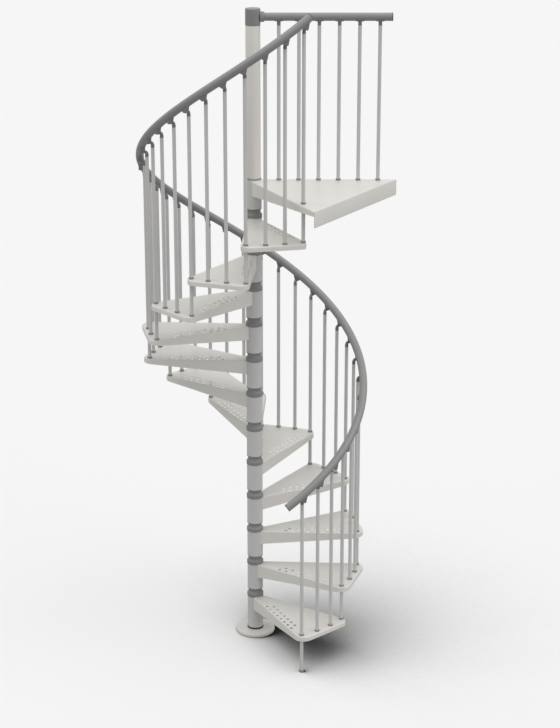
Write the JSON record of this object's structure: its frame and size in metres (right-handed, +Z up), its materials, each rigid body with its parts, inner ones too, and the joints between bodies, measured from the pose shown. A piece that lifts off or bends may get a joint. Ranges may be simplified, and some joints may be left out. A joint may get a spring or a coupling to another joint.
{
  "type": "spiral staircase",
  "caption": "Spiral staircase with folded perforated steel treads on a centre column, round balusters, a helical handrail and a triangular railed landing.",
  "frame": {"origin": "centre of the base flange's underside, on the floor, on the column's axis", "axes": "+Z up along the column; +X along the landing's back rail, away from the column; the stair climbs anticlockwise"},
  "size_m": [1.3663, 1.2849, 3.5752],
  "materials": {
    "paint": "satin",
    "rail_plastic": "satin",
    "ring_plastic": "satin",
    "dark_plastic": "satin",
    "steel": "plain"
  },
  "bodies": {
    "root": {"base_flange": "paint", "landing_plate": "paint", "landing_fascia": "paint", "top_post": "paint", "landing_front_baluster": "paint", "landing_balusters": "paint", "tread_01": "paint", "tread_02": "paint", "tread_03": "paint", "tread_04": "paint", "tread_05": "paint", "tread_06": "paint", "tread_07": "paint", "tread_08": "paint", "tread_09": "paint", "tread_10": "paint", "tread_11": "paint", "tread_12": "paint", "balusters_01": "paint", "balusters_02": "paint", "balusters_03": "paint", "balusters_04": "paint", "balusters_05": "paint", "balusters_06": "paint", "balusters_07": "paint", "balusters_08": "paint", "balusters_09": "paint", "balusters_10": "paint", "balusters_11": "paint", "balusters_12": "paint", "handrail": "rail_plastic", "landing_rail": "rail_plastic", "landing_rail_collar": "rail_plastic", "spacer_rings": "ring_plastic", "base_seal": "dark_plastic", "post_seal": "dark_plastic", "post_cap": "dark_plastic", "baluster_foot": "dark_plastic", "ferrules": "dark_plastic", "landing_ferrules": "dark_plastic", "handrail_clips": "dark_plastic", "landing_rail_clips": "dark_plastic", "handrail_end_caps": "dark_plastic", "landing_rail_end_cap": "dark_plastic", "centre_pole": "steel"}
  },
  "joints": []
}
